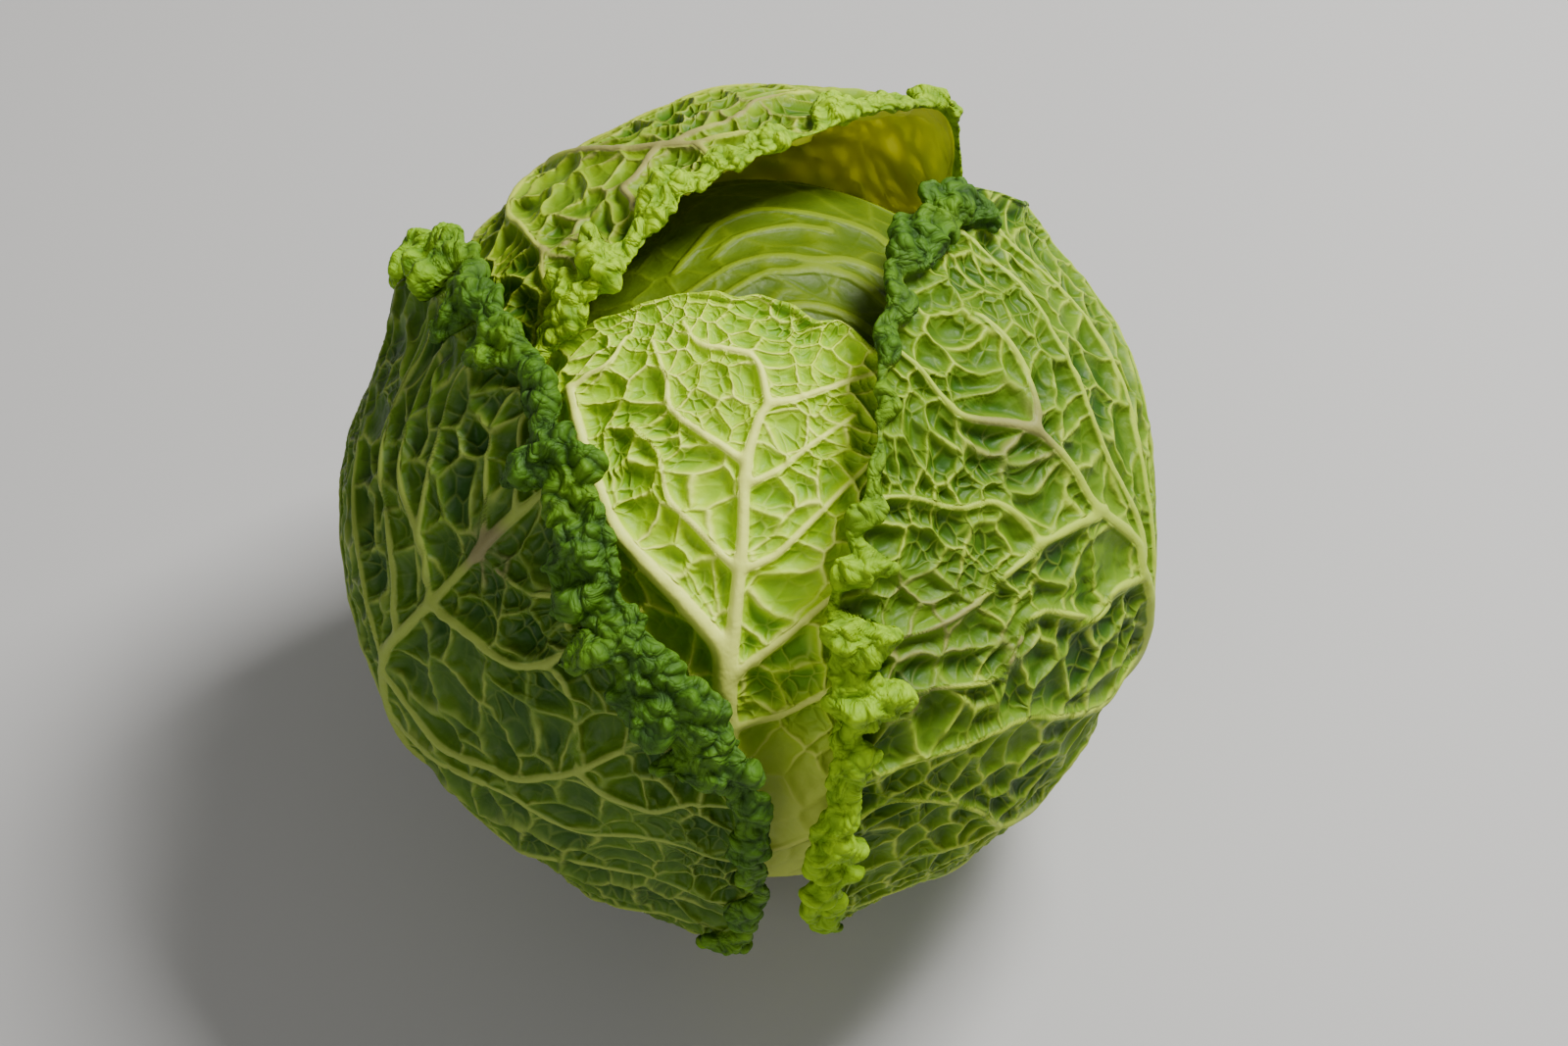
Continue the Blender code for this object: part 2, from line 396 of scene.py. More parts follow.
def outward_normals(mesh, spot, inside):
    """The vertex normals of a blade, after its faces are turned away from the head."""
    normal = np.empty(len(mesh.vertices) * 3, np.float32)
    mesh.vertex_normals.foreach_get("vector", normal)
    normal = normal.reshape(-1, 3)
    if (normal * (spot - CENTRE)).sum(1)[inside].mean() < 0:
        mesh.flip_normals()
        return -normal
    return normal


def sink_back(back, normal, relief, share, margin, count):
    """The inner face, moved in under the lowest of the relief near it and thinned to the rim."""
    under = lowest_near(relief.reshape(count + 1, count + 1), 7).ravel() - BLADE
    under = np.minimum(soften(under, 8), -BLADE)
    radial = (back - CENTRE) / np.linalg.norm(back - CENTRE, axis=1)[:, None]
    inward = radial + (normal - radial) * smooth(1.5, 5.0, margin)[:, None]
    return back + inward * ((under - 0.5 * (margin < 6.0)) * (1.0 - share))[:, None]


def lay_net(mesh, nx, ny, cell):
    """The blade's UV map: its place among the net's cells, one cell to a unit."""
    loops = np.empty(len(mesh.loops), np.int32)
    mesh.loops.foreach_get("vertex_index", loops)
    net = mesh.uv_layers[0] if mesh.uv_layers else mesh.uv_layers.new(name="net")
    net.name = "net"
    places = np.stack([nx[loops], ny[loops]], 1) / cell
    net.uv.foreach_set("vector", places.astype(np.float32).ravel())


STALK_WIDE = 17.0                       # how far round the blade the stalk spreads, in degrees,
STALK_PLAIN = 22.0                      # how far the edge beside it has next to no frill,
STALK_CALM = 20.0                       # and how far the relief dies down on it


def beside_stalk(away, wide):
    return np.exp(-((away / wide) ** 2))


def make_leaf(name, place, layer, outline, edge, tones, stalk_gap, count, lift, veins, own, seed):
    """One leaf blade wrapped on the head. Flat lengths are in mm from the blade's middle.

    The blade's middle looks along place, layer mm outside the outer leaves, and its stalk ends
    stalk_gap degrees from straight down. The edge turns outwards and back, so past the blade
    the sheet climbs round a flattened roll of blisters whose width is given all round in edge,
    and its colour in tones. What the leaf has of its own in LEAF_LOOK is given in own.
    """
    look = SimpleNamespace(**{**LEAF_LOOK, **own})
    centre, up, side = leaf_axes(*place)
    radius = HEAD_WIDE + layer
    stalk_way = math.atan2(-side[2], -up[2])
    stalk_bearing = math.degrees(stalk_way)
    stalk_length = radius * math.radians(90.0 + place[1] - stalk_gap)
    stalk = stalk_length - around(outline, np.array([stalk_bearing]))[0]

    # the outline, drawn out to the stem by the stalk, and the width of the frill along it
    obj, rho, bearing = spread_grid(name, count, look)
    bx, by = np.sin(np.radians(bearing)), np.cos(np.radians(bearing))
    away = (bearing - stalk_bearing + 180.0) % 360.0 - 180.0
    reach = around(outline, bearing) + stalk * beside_stalk(away, STALK_WIDE)
    ex, ey = bx * reach, by * reach
    off_stalk = 1.0 - 0.9 * beside_stalk(away, STALK_PLAIN)
    width = np.maximum(0.7, around(edge, bearing))
    uneven = np.clip(1.0 + look.uneven * ripple(ex, ey, 8.0, seed), 0.25, 1.8)
    half = 0.5 * width * off_stalk * uneven
    reach = reach + (0.09 * width + look.wavy) * off_stalk * ripple(ex, ey, 7.0, seed + 2)

    # both faces wrapped on the head, still smooth
    out, rise, back_out, back_rise, flat, along, share, margin = roll_edge(rho, reach, half)
    x, y = bx * out, by * out
    fx, fy = bx * flat, by * flat
    across = side * bx[:, None] + up * by[:, None]

    def on_head(distance, height):
        angle = (distance / radius)[:, None]
        d = centre * np.cos(angle) + across * np.sin(angle)
        return CENTRE + d * (head_reach(d) + layer + lift(x, y, margin) + height)[:, None]

    spot = on_head(out, rise)
    back = on_head(back_out, back_rise)

    # the relief: puckers on the blade and blisters on the frill
    nx, ny, tight = net_places(fx, fy, look, seed)
    pale = smooth(*look.pale, fx * math.sin(stalk_way) + fy * math.cos(stalk_way))
    relief, puckers, vein_gap = puckered(fx, fy, nx, ny, tight, margin, pale, veins, look, seed)
    bubbly, dome, bead_spot = blistered(spot, x, y, fx, fy, half, look, seed)
    frill = smooth(0.0, 1.0, along / 2.0) * smooth(0.7, 2.0, width)
    relief *= np.where(along > 0.0, 0.0, smooth(-0.5, 2.5, margin))
    relief = soften(relief, look.ease) * (1.0 - frill) + soften(bubbly, 1) * frill
    relief *= 1.0 - 0.75 * beside_stalk(away, STALK_CALM) * smooth(0.75, 1.0, rho)
    relief *= smooth(1.0, 0.97, rho)

    mesh = obj.data
    place_points(mesh, spot)
    normal = outward_normals(mesh, spot, rho < 0.5)
    place_points(mesh, spot + normal * relief[:, None])
    back = sink_back(back, normal, relief * (1.0 - frill), share, margin, count)

    # what the materials read at each point
    blush = np.zeros(len(rho))
    for tint_x, tint_y, wide in look.blush:
        gap = np.hypot(fx - tint_x, fy - tint_y)
        blush = np.maximum(blush, 1.0 - smooth(0.4 * wide, wide, gap))
    tone = around(tones, bearing) + 0.15 * ripple(fx, fy, 12.0, seed + 12)
    for label, values in (
        ("vein", soften(np.clip(vein_gap, -3.0, 3.0), 1)),
        ("hollow", np.clip(puckers / (look.deep + look.fine), 0, 1.2)),
        ("frill", frill),
        ("pale", pale),
        ("dome", np.clip(dome, 0, 1)),
        ("tone", np.clip(tone, 0, 1)),
        ("blush", blush),
    ):
        kept = mesh.attributes.new(label, "FLOAT", "POINT")
        kept.data.foreach_set("value", values.astype(np.float32))
    beads = mesh.attributes.new("beads", "FLOAT_VECTOR", "POINT")
    beads.data.foreach_set("vector", bead_spot.astype(np.float32).ravel())
    lay_net(mesh, nx, ny, look.cell)
    mesh.shade_smooth()
    close_back(obj, count, back * MM, BACK_STEP)
    obj.select_set(False)
    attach(obj, "root")
    return obj


def link_value(tree, name, output="Fac"):
    node = tree.nodes.new("ShaderNodeAttribute")
    node.attribute_name = name
    return node.outputs[output]


def set_socket(tree, socket, value):
    """Sets a number or a colour, or links another node's output."""
    if isinstance(value, (int, float)):
        socket.default_value = value
    elif isinstance(value, tuple):
        socket.default_value = (*value, 1.0)
    else:
        tree.links.new(value, socket)


def maths(tree, operation, a, b=None, clamp=False, third=None):
    node = tree.nodes.new("ShaderNodeMath")
    node.operation = operation
    node.use_clamp = clamp
    for socket, value in zip(node.inputs, (a, b, third)):
        if value is not None:
            set_socket(tree, socket, value)
    return node.outputs[0]


def scaled(tree, value, by, add, clamp=False):
    return maths(tree, "MULTIPLY_ADD", value, by, clamp, add)


def times(tree, a, b):
    return maths(tree, "MULTIPLY", a, b)


def plus(tree, a, b, clamp=False):
    return maths(tree, "ADD", a, b, clamp)


def blend(tree, factor, first, second, kind="RGBA"):
    """Mixes two colours or, where kind is FLOAT, two values."""
    node = tree.nodes.new("ShaderNodeMix")
    node.data_type = kind
    at, output = (6, 2) if kind == "RGBA" else (2, 0)
    set_socket(tree, node.inputs[0], factor)
    set_socket(tree, node.inputs[at], first)
    set_socket(tree, node.inputs[at + 1], second)
    return node.outputs[output]


def step(tree, value, low, high):
    node = tree.nodes.new("ShaderNodeMapRange")
    node.interpolation_type = "SMOOTHSTEP"
    node.inputs["From Min"].default_value = low
    node.inputs["From Max"].default_value = high
    tree.links.new(value, node.inputs["Value"])
    return node.outputs["Result"]


def net_mask(tree, vector, size, width, shift):
    """Pale lines of the net of small veins, drawn on the same cells that shape the puckers.

    All lengths are shares of the net's own cell. Also gives the distance to the nearest line.
    """
    scale = tree.nodes.new("ShaderNodeMapping")
    scale.inputs["Location"].default_value = (shift / size, 0.0, 0.0)
    scale.inputs["Scale"].default_value = (1.0 / size, 1.0 / size, 1.0)
    tree.links.new(vector, scale.inputs["Vector"])
    gap = cell_distance(tree, scale.outputs[0], 1.0, "2D", "DISTANCE_TO_EDGE")
    return step(tree, gap, width / size, 0.0), gap


def noise(tree, vector, scale, detail, output="Fac"):
    node = tree.nodes.new("ShaderNodeTexNoise")
    node.inputs["Scale"].default_value = scale
    node.inputs["Detail"].default_value = detail
    tree.links.new(vector, node.inputs["Vector"])
    return node.outputs[output]


def swelling(tree, scale):
    """Round tops of a frill's blisters, 1 at each middle, or of smaller ones at a larger scale."""
    middle = cell_distance(tree, link_value(tree, "beads", "Vector"), scale, "3D", "F1")
    return scaled(tree, maths(tree, "POWER", middle, 2.0), -1.5, 1.0, clamp=True)


def wandering_net(tree):
    """The leaf's net coordinates, bent a little so that no line runs quite straight."""
    net = tree.nodes.new("ShaderNodeUVMap")
    net.uv_map = "net"
    swing = tree.nodes.new("ShaderNodeVectorMath")
    swing.operation = "MULTIPLY_ADD"
    swing.inputs[1].default_value = (0.14, 0.14, 0.0)
    tree.links.new(noise(tree, net.outputs[0], 3.0, 0.0, "Color"), swing.inputs[0])
    tree.links.new(net.outputs[0], swing.inputs[2])
    level = tree.nodes.new("ShaderNodeVectorMath")
    level.operation = "SUBTRACT"
    level.inputs[1].default_value = (0.07, 0.07, 0.0)
    tree.links.new(swing.outputs[0], level.inputs[0])
    return level.outputs[0]


def savoy_skin():
    """Shared look of a puckered leaf: colour, roughness and fine height from its own values."""
    tree = bpy.data.node_groups.new("savoy skin", "ShaderNodeTree")
    # Light and Dark: the blade's colour on its crests and its painted shade in the hollows
    for way, kind, labels in (
        ("INPUT", "Color", ("Light", "Dark", "Vein", "Frill Light", "Frill Dark")),
        ("INPUT", "Float", ("Net",)),
        ("OUTPUT", "Color", ("Colour",)),
        ("OUTPUT", "Float", ("Roughness", "Height")),
    ):
        for label in labels:
            tree.interface.new_socket(label, in_out=way, socket_type="NodeSocket" + kind)
    given = tree.nodes.new("NodeGroupInput").outputs
    result = tree.nodes.new("NodeGroupOutput").inputs
    place = tree.nodes.new("ShaderNodeTexCoord").outputs["Object"]
    mottle = noise(tree, place, 60.0, 3.0)
    grain = noise(tree, place, 900.0, 1.0)
    beside = link_value(tree, "vein")
    frill = link_value(tree, "frill")
    pale = link_value(tree, "pale")

    # the leaf between the veins: painted shade, darker in its hollows (Dark) than on its crests
    # (Light), over a random mottle of its real tone
    drift = scaled(tree, mottle, 1.1, -0.55)
    shade = plus(tree, link_value(tree, "hollow"), drift, clamp=True)
    lamina = blend(tree, shade, given["Light"], given["Dark"])

    # the veins: the net here and there, the pale stretch by the stalk, and the main ones
    curved = wandering_net(tree)
    wide, _ = net_mask(tree, curved, 1.0, 0.10, 0.0)
    fine, small_gap = net_mask(tree, curved, SMALL_CELL, 0.05, 4.0)
    patchy = scaled(tree, step(tree, mottle, 0.42, 0.60), 0.8, 0.2)
    fine = times(tree, fine, patchy)
    faded = step(tree, noise(tree, place, 130.0, 1.0), 0.38, 0.62)
    faded = scaled(tree, faded, 0.55, 0.3)
    lines = maths(tree, "MAXIMUM", times(tree, wide, faded), times(tree, fine, 0.22))
    lines = times(tree, lines, given["Net"])
    lines = maths(tree, "MAXIMUM", lines, times(tree, pale, 0.75))
    main = step(tree, beside, 0.35, -0.05)
    lines = maths(tree, "MAXIMUM", lines, main)
    purple = times(tree, link_value(tree, "blush"), 0.6)
    veined = blend(tree, lines, lamina, blend(tree, purple, given["Vein"], (0.20, 0.115, 0.10)))

    # the frill: from dark green to its own colour by tone, with a painted highlight on top of each
    # blister (high, Frill Light) and painted shade in the creases between them (low, Frill Dark)
    tone = link_value(tree, "tone")
    high = blend(tree, tone, (0.075, 0.19, 0.006), given["Frill Light"])
    low = blend(tree, tone, (0.012, 0.045, 0.002), given["Frill Dark"])
    swollen, small = swelling(tree, 1.0), swelling(tree, 2.4)
    beaded = plus(tree, times(tree, swollen, 0.45), times(tree, small, 0.16))
    lit = plus(tree, times(tree, link_value(tree, "dome"), 0.4), beaded, clamp=True)
    tree.links.new(blend(tree, frill, veined, blend(tree, lit, low, high)), result["Colour"])

    matt = scaled(tree, frill, 0.12, 0.42)
    tree.links.new(scaled(tree, grain, 0.25, matt), result["Roughness"])

    # fine height: the net off the main veins and the pale stretch, the main veins, the blisters
    dish = times(tree, step(tree, small_gap, 0.30, 0.0), patchy)
    height = plus(tree, times(tree, dish, 1.1), times(tree, fine, 0.2))
    height = times(tree, plus(tree, height, wide), given["Net"])
    height = times(tree, height, maths(tree, "SUBTRACT", 1.0, main))
    height = times(tree, height, maths(tree, "SUBTRACT", 1.0, pale))
    height = plus(tree, height, times(tree, step(tree, beside, 0.9, -0.3), 1.4))
    crinkle = plus(tree, times(tree, swollen, 2.7), times(tree, small, 1.1))
    height = blend(tree, frill, height, crinkle, "FLOAT")
    tree.links.new(plus(tree, height, times(tree, grain, 0.3)), result["Height"])
    return tree


skin = savoy_skin()


def new_material(name):
    made = bpy.data.materials.new(name)
    made.use_nodes = True
    return made, made.node_tree, made.node_tree.nodes["Principled BSDF"]


def add_bump(tree, shader, height, strength):
    """Fine relief of up to 0.4 mm."""
    bump = tree.nodes.new("ShaderNodeBump")
    bump.inputs["Distance"].default_value = 0.0004
    bump.inputs["Strength"].default_value = strength
    tree.links.new(height, bump.inputs["Height"])
    tree.links.new(bump.outputs[0], shader.inputs["Normal"])


# dark is painted shade for the hollows; frill_light and frill_dark carry a painted highlight on the
# blister tops and painted shade in the creases
def leaf_material(name, light, dark, vein, frill_light, frill_dark, net=1.0):
    made, tree, shader = new_material(name)
    look = tree.nodes.new("ShaderNodeGroup")
    look.node_tree = skin
    for label, colour in (("Light", light), ("Dark", dark), ("Vein", vein),
                          ("Frill Light", frill_light), ("Frill Dark", frill_dark)):
        look.inputs[label].default_value = (*colour, 1.0)
    look.inputs["Net"].default_value = net
    tree.links.new(look.outputs["Colour"], shader.inputs["Base Color"])
    tree.links.new(look.outputs["Roughness"], shader.inputs["Roughness"])
    shader.inputs["Specular IOR Level"].default_value = 0.25
    add_bump(tree, shader, look.outputs["Height"], 0.8)
    return made


def inner_material(name, light, dark, through=0.0):
    """The leaf's inner face: smooth, with faint soft bands, and lit through as far as told."""
    made, tree, shader = new_material(name)
    place = tree.nodes.new("ShaderNodeTexCoord").outputs["Object"]
    bands = noise(tree, place, 45.0, 3.0)
    soft = step(tree, bands, 0.35, 0.65)
    tree.links.new(blend(tree, soft, dark, light), shader.inputs["Base Color"])
    shader.inputs["Roughness"].default_value = 0.5
    shader.inputs["Subsurface Weight"].default_value = through
    shader.inputs["Subsurface Radius"].default_value = (1.0, 1.0, 0.3)
    shader.inputs["Subsurface Scale"].default_value = 0.003
    return made


def cover(leaf, outside, inside):
    leaf.data.materials.append(outside)
    leaf.data.materials.append(inside)


def vein_set(share, table):
    return [vein_line(points, share * wide, share * narrow) for wide, narrow, points in table]


right_veins = vein_set(0.85, [
    (10, 2.2, [(-17, -121), (-14, -90), (-9, -50), (-8, -20), (-5, 8), (-2, 16), (-4, 33),
               (-1, 45), (1, 55)]),
    (2.6, 1.2, [(1, 55), (-1, 62), (-5, 72), (-3, 78), (1, 84), (4, 91)]),
    (2.4, 1.0, [(1, 55), (11, 60), (18, 67), (21, 73), (18, 80)]),
    (2.4, 1.2, [(-2, 10), (3, 17), (9, 34), (19, 46), (26, 54), (34, 61), (41, 70), (46, 80)]),
    (2.2, 1.2, [(-4, -2), (6, 8), (17, 17), (30, 25), (44, 38), (49, 50), (54, 60), (58, 70)]),
    (2.6, 1.0, [(-3, 30), (-19, 44), (-35, 50), (-44, 53), (-52, 58), (-54, 64)]),
    (1.8, 0.9, [(-19, 44), (-18, 58), (-24, 66), (-27, 75), (-32, 83)]),
    (2.2, 0.9, [(-5, 6), (-14, 17), (-22, 19), (-29, 34), (-35, 37), (-46, 35), (-57, 46),
                (-64, 51), (-72, 57)]),
    (2.4, 0.9, [(-8, -22), (-17, -14), (-26, -12), (-37, 3), (-47, 19), (-58, 26), (-69, 32),
                (-78, 36), (-86, 36)]),
    (2.4, 0.9, [(-9, -48), (-22, -36), (-37, -29), (-46, -31), (-59, -15), (-65, 4), (-75, 21),
                (-84, 25), (-92, 22)]),
    (1.6, 0.8, [(-46, -31), (-59, -15), (-78, -4), (-96, 3)]),
    (2.2, 0.9, [(-11, -70), (-30, -62), (-52, -52), (-70, -38), (-90, -24), (-100, -14)]),
    (2.4, 0.9, [(-8, -24), (8, -14), (26, -4), (48, 8), (66, 26), (80, 40)]),
    (2.4, 0.9, [(-9, -50), (10, -42), (34, -34), (58, -20), (78, -4), (92, 12)]),
    (2.2, 0.9, [(-12, -74), (8, -70), (34, -64), (58, -54), (80, -38), (94, -22)]),
    (1.6, 0.8, [(26, -4), (36, 6), (52, 12), (66, 10), (84, 18)]),
])


def right_lift(x, y, margin):
    roll_out = 2.0 * (1.0 - smooth(0.0, 12.0, margin))
    hang = 3.0 * smooth(20.0, 80.0, -x) * smooth(-10.0, -70.0, y)
    return roll_out + hang


leaf_right = make_leaf(
    "leaf_right_blade", (76, 8, -8), 0.0,
    [93, 95, 95, 88, 81, 85, 94, 101, 106, 109, 110, 108,
     106, 107, 108, 107, 106, 104, 102, 97, 93, 94, 93, 89],
    [4, 8, 13, 1.5, 1, 1, 1, 1, 1, 1, 1, 1, 1, 1, 1.2, 1.5, 2.5, 4.5, 7, 8, 8, 10, 6.5, 4],
    [0.15, 0, 0, 0, 0.1, 0.2, 0.4, 0.4, 0.4, 0.4, 0.4, 0.4,
     0.4, 0.4, 0.4, 0.4, 0.4, 0.6, 0.9, 1.0, 1.0, 1.0, 0.8, 0.35],
    15.6, 300, right_lift, right_veins,
    {"deep": 3.8, "crumple": 1.1, "blister": 2.9, "uneven": 0.5, "drift": (-0.15, 0.08),
     "blush": [(-3, 60, 16), (-48, 56, 18), (-62, 50, 14), (-40, 36, 8)]}, 11,
)
green_right = leaf_material(
    "right leaf, puckered green", (0.155, 0.285, 0.004), (0.025, 0.085, 0.001), (0.42, 0.55, 0.045),
    (0.34, 0.58, 0.0003), (0.12, 0.26, 0.0002),
)
green_right_in = inner_material("right leaf, upper side", (0.20, 0.36, 0.02), (0.08, 0.20, 0.01))
cover(leaf_right, green_right, green_right_in)
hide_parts("leaf_right")


# --- Left wrapper leaf ------------------------------------------------
# The darkest outer leaf, clasping the left of the head. Its edge turns right over into a thick
# dark green ruffle that runs from the crown down to the low front corner.

left_veins = vein_set(0.85, [
    (10, 2.0, [(17, -121), (13, -90), (6, -55), (1, -20), (-2, 3), (0, 16), (2, 29), (3, 43)]),
    (3.4, 1.2, [(3, 43), (3, 50), (4, 57), (5, 64), (6, 72)]),
    (2.4, 0.9, [(1, 26), (-8, 32), (-22, 35), (-31, 40), (-40, 46), (-46, 54), (-50, 62)]),
    (2.4, 0.9, [(-1, 12), (-14, 24), (-31, 30), (-41, 33), (-48, 39), (-56, 45), (-66, 52)]),
    (1.8, 0.8, [(-10, 32), (-17, 42), (-23, 50), (-29, 57), (-29, 66)]),
    (1.8, 0.8, [(3, 45), (-4, 52), (-11, 58), (-15, 64), (-17, 72)]),
    (1.5, 0.8, [(3, 57), (-5, 64), (-10, 68), (-12, 74)]),
    (2.6, 1.2, [(2, 26), (9, 29), (17, 32), (24, 34), (29, 40), (32, 46), (40, 51), (48, 54)]),
    (1.5, 0.8, [(32, 46), (28, 51), (24, 54), (17, 48), (8, 45), (3, 43)]),
    (1.5, 0.8, [(29, 40), (34, 39), (39, 35), (43, 28), (46, 21)]),
    (3.0, 1.2, [(-1, -2), (9, -2), (19, -2), (29, 5), (36, 8), (41, 14), (46, 21), (50, 30),
                (54, 38), (64, 40)]),
    (1.8, 0.9, [(46, 21), (52, 19), (58, 19), (64, 21), (68, 27), (75, 31)]),
    (2.4, 0.9, [(1, -18), (18, -9), (27, -3), (36, 1), (44, 0), (52, 1), (61, 9), (70, 13),
                (80, 14)]),
    (2.4, 0.9, [(5, -48), (23, -36), (34, -34), (49, -17), (62, -8), (73, -5), (84, -6)]),
    (2.2, 0.9, [(9, -68), (26, -60), (46, -48), (62, -36), (78, -30), (88, -28)]),
    (2.2, 0.9, [(12, -84), (30, -80), (50, -72), (70, -60), (84, -50)]),
    (2.4, 0.9, [(-2, 2), (-20, 10), (-40, 14), (-60, 18), (-78, 26)]),
    (2.4, 0.9, [(1, -20), (-20, -16), (-45, -14), (-68, -4), (-86, 8)]),
    (2.4, 0.9, [(5, -48), (-16, -48), (-40, -46), (-66, -36), (-88, -20)]),
    (2.2, 0.9, [(10, -74), (-10, -78), (-34, -78), (-60, -68), (-84, -50)]),
])


def left_lift(x, y, margin):
    roll_out = 2.0 * (1.0 - smooth(0.0, 16.0, margin))
    hang = 5.0 * smooth(20.0, 80.0, x) * smooth(-10.0, -70.0, y)
    return roll_out + hang


leaf_left = make_leaf(
    "leaf_left_blade", (-58, 8, 8), 0.0,
    [76, 73, 86, 89, 96, 104, 104, 106, 100, 96, 92, 82],
    [9, 11, 14, 14, 11, 6, 5, 6, 5, 3, 2, 1, 1, 1, 1, 1.5, 2, 2, 3, 7, 9, 9, 9, 8],
    [0, 0, 0, 0, 0, 0.05, 0.15, 0.2, 0.2, 0.1, 0.1, 0.1,
     0.1, 0.1, 0.1, 0.1, 0.1, 0.4, 1.0, 1.0, 1.0, 0.4, 0, 0],
    15.6, 300, left_lift, left_veins,
    {"blister": 2.7, "uneven": 0.4, "drift": (0.15, 0.05), "blush": [(5, 46, 9)]}, 23,
)
green_left = leaf_material(
    "left leaf, puckered dark green", (0.085, 0.175, 0.005), (0.015, 0.06, 0.001),
    (0.26, 0.34, 0.05), (0.30, 0.56, 0.003), (0.05, 0.15, 0.001),
)
green_left_in = inner_material("left leaf, upper side", (0.10, 0.24, 0.02), (0.03, 0.11, 0.01))
cover(leaf_left, green_left, green_left_in)
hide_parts("leaf_left")


# --- Hood leaf --------------------------------------------------------
# The next leaf inwards. It comes up the back and arches over the crown, where its curly yellow
# edge stands clear of the head.

hood_veins = vein_set(0.85, [
    (9, 2.0, [(-21, -136), (-16, -100), (-8, -60), (0, -20), (5, 14), (3, 39), (-1, 48)]),
    (2.6, 1.4, [(-1, 48), (-5, 55), (-10, 58), (-14, 60)]),
    (2.0, 1.0, [(-3, 50), (-16, 53), (-23, 49), (-36, 48)]),
    (1.8, 0.9, [(-5, 55), (-3, 62), (3, 66)]),
    (1.6, 0.8, [(-3, 62), (-6, 68), (-13, 70)]),
    (2.4, 1.2, [(-1, 48), (8, 52), (12, 52), (14, 57), (16, 60), (15, 65), (18, 69)]),
    (2.4, 1.0, [(5, 8), (22, 22), (28, 35), (32, 46), (30, 51), (26, 53), (25, 58), (26, 64)]),
    (1.8, 0.9, [(32, 46), (37, 50), (40, 55), (40, 61), (42, 68)]),
    (2.4, 1.0, [(2, -10), (24, 6), (42, 22), (56, 38), (66, 52)]),
    (2.4, 1.0, [(5, 4), (-12, 18), (-30, 26), (-48, 34), (-62, 42)]),
    (2.4, 1.0, [(0, -20), (-20, -8), (-44, 2), (-66, 16), (-84, 32)]),
    (2.4, 1.0, [(-6, -50), (-30, -42), (-56, -28), (-80, -12), (-98, 4)]),
    (2.2, 1.0, [(-10, -75), (-36, -72), (-64, -58), (-90, -38)]),
    (2.4, 1.0, [(0, -32), (24, -22), (50, -4), (72, 16), (90, 34)]),
    (2.4, 1.0, [(-6, -56), (22, -52), (52, -36), (80, -14), (100, 4)]),
    (2.2, 1.0, [(-10, -78), (18, -80), (50, -70), (82, -48)]),
])


def hood_lift(x, y, margin):
    arch = 0.125 * np.maximum(0.0, 45.0 - x) * smooth(-30.0, 45.0, y)
    tuck = 1.6 * smooth(40.0, 65.0, x)
    return arch * smooth(-82.0, -60.0, x) - tuck


leaf_hood = make_leaf(
    "leaf_hood_blade", (-146, 25, -8), -4.2,
    [70, 72, 78, 85, 97, 102, 104, 104, 104, 108, 112, 111,
     110, 111, 112, 111, 110, 108, 104, 96, 86, 79, 74, 71],
    [4, 6, 7.5, 5.5, 1] + [0.8] * 14 + [1.2, 3.5, 6, 5, 3.5],
    [0.9] * 24,
    15.6, 300, hood_lift, hood_veins,
    {"cell": 9.0, "deep": 3.0, "crumple": 0.5, "bubble": 1.2, "blister": 2.5, "lobe": 9.0,
     "uneven": 0.9, "drift": (0.0, 0.18),
     "blush": [(-1, 50, 14), (12, 54, 12), (26, 52, 14), (-20, 50, 14), (3, 34, 12)]}, 37,
)
green_hood = leaf_material(
    "hood leaf, puckered light green", (0.25, 0.39, 0.001), (0.045, 0.13, 0.001), (0.48, 0.57, 0.05),
    (0.42, 0.66, 0.0005), (0.13, 0.28, 0.0003),
)
# The hood's inside is painted light: its very pale yellow colour stands in for light coming through
# the leaf, on top of its real subsurface glow.
hood_inside_painted_glow = inner_material("hood leaf, upper side with painted glow", (0.84, 0.84, 0.10), (0.62, 0.66, 0.04), 0.7)
cover(leaf_hood, green_hood, hood_inside_painted_glow)
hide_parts("leaf_hood")


# --- Front leaf -------------------------------------------------------
# The pale leaf up the front, paler because the outer leaves shaded it. Its cream midrib forks
# below the crown, and its small frilled tip slips under the hood's edge.

